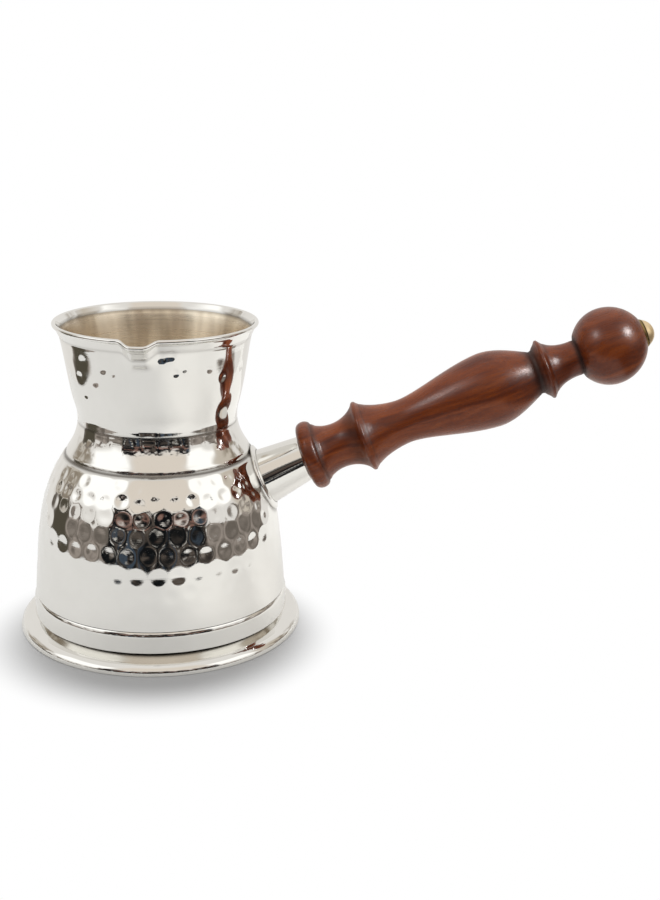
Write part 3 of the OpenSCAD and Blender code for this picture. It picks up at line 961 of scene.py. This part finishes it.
def studio_world():
    """White tent with two softboxes for the silver, open to a dark room on the camera's side.

    The camera sees plain white, and what isn't shiny is lit by a plain grey."""
    world = bpy.data.worlds.new("studio")
    bpy.context.scene.world = world
    world.use_nodes = True
    g = Graph(world.node_tree)
    direction = g.node("ShaderNodeTexCoord").outputs["Generated"]
    turned = g.node("ShaderNodeVectorRotate", {"Vector": direction, "Angle": -CAMERA_AZIMUTH},
                    rotation_type="Z_AXIS").outputs[0]
    x, y, z = g.node("ShaderNodeSeparateXYZ", {0: turned}).outputs
    azimuth = g.math("MULTIPLY", g.math("ARCTAN2", x, g.math("MULTIPLY", y, -1.0)), math.degrees(1))
    elevation = g.math("MULTIPLY", g.math("ARCSINE", z), math.degrees(1))

    colour = TENT
    for centre, half, soft, paint_colour in TENT_PARTS:
        colour = g.mix(patch(g, azimuth, elevation, centre, half, soft), colour, paint_colour)

    clutter = g.noise(turned, 9.0, detail=3.0, roughness=0.6)
    shelves = g.noise(g.scaled(turned, (1, 1, 2.0)), 8.0, detail=1.0, distortion=0.4)
    posts = g.noise(g.scaled(turned, (1, 1, 0.1)), 13.0, detail=1.0)
    glints = g.noise(turned, 19.0, detail=0.0)
    haze = g.span(g.noise(turned, 7.0, detail=2.0), 0.40, 0.62)
    both_sides = g.math("ABSOLUTE", azimuth)
    mottled = g.math("MULTIPLY", haze, patch(g, both_sides, elevation, *MOTTLED_SIDES))
    colour = g.mix(mottled, colour, rgb(0.30, 0.255, 0.20))
    side = g.mix(g.span(clutter, 0.36, 0.64), rgb(0.15, 0.13, 0.112), rgb(0.36, 0.315, 0.28))
    side = g.mix(patch(g, azimuth, elevation, *SIDE_SHADE), side, rgb(0.085, 0.075, 0.055))
    room = g.mix(g.span(clutter, 0.44, 0.66), rgb(0.006, 0.007, 0.008), rgb(0.095, 0.078, 0.066))
    room = g.mix(g.span(posts, 0.57, 0.68), room, rgb(0.050, 0.068, 0.092))
    warm = g.math("MULTIPLY", g.span(shelves, 0.50, 0.58), g.span(elevation, 7, 13))
    room = g.mix(warm, room, rgb(0.24, 0.135, 0.108))
    room = g.mix(g.span(glints, 0.70, 0.76), room, rgb(0.62, 0.60, 0.56))
    uneven = g.math("ADD", elevation, g.span(shelves, 0.35, 0.65, -5.0, 5.0))
    colour = g.mix(patch(g, azimuth, uneven, *SIDE_BELT), colour, side)
    colour = g.mix(patch(g, azimuth, elevation, *TENT_POLE), colour, rgb(0.60, 0.56, 0.47))
    colour = g.mix(patch(g, azimuth, uneven, *DARK_ROOM), colour, room)

    rays = g.node("ShaderNodeLightPath")
    dim = patch(g, azimuth, elevation, *DIM_SIDE)
    plain = g.mix(dim, rgb(0.78, 0.78, 0.78), rgb(0.30, 0.30, 0.30))
    seen = g.mix(rays.outputs["Is Glossy Ray"], plain, colour)
    seen = g.mix(rays.outputs["Is Camera Ray"], seen, rgb(1.0, 1.0, 1.0))
    background = g.node("ShaderNodeBackground", {"Color": seen, "Strength": 1.0})
    g.node("ShaderNodeOutputWorld", {"Surface": background.outputs[0]})


def studio():
    """World, floor, two lamps for the highlights of the wood, and two lights with no reflection."""
    studio_world()
    studio_floor()
    wooden = bpy.data.collections.new("lit_by_lamps")
    wooden.objects.link(bpy.data.objects["turned_handle"])
    for name, azimuth, elevation, watts in (("left_lamp", -67, 41, 1.8), ("right_lamp", 63, 38, 5.4)):
        lamp = softbox(name, azimuth, elevation, 0.9, 0.19, watts)
        lamp.visible_diffuse = False
        lamp.light_linking.receiver_collection = wooden
    fill = softbox("fill_light", -50, 50, 0.9, 0.4, 1.6)
    fill.visible_glossy = False
    top = softbox("top_light", 180, 62, 0.9, 0.6, 4.4)
    top.visible_glossy = False
    bpy.context.scene.view_settings.view_transform = "Standard"


def assemble():
    silver, tin, steel = silver_material(), tin_material(), steel_material()
    rosewood = rosewood_material()
    polished = brass_material("polished_brass", rgb(0.80, 0.60, 0.33), rgb(0.92, 0.76, 0.50), 0.34, 0.44)
    dull = brass_material("dull_brass", rgb(0.30, 0.21, 0.08), rgb(0.46, 0.34, 0.15), 0.30, 0.42)
    pot_body(silver, tin)
    foot_ring(silver)
    floor_plate(tin)
    socket_collar(silver)
    socket_tube(silver)
    handle_grip(rosewood)
    finial_washer(dull)
    finial_nut(polished)
    for node in ("rod_anchor", "tie_rod"):
        slots = frame["nodes"][node].data.materials
        slots.clear()
        slots.append(steel)


camera()
assemble()
studio()
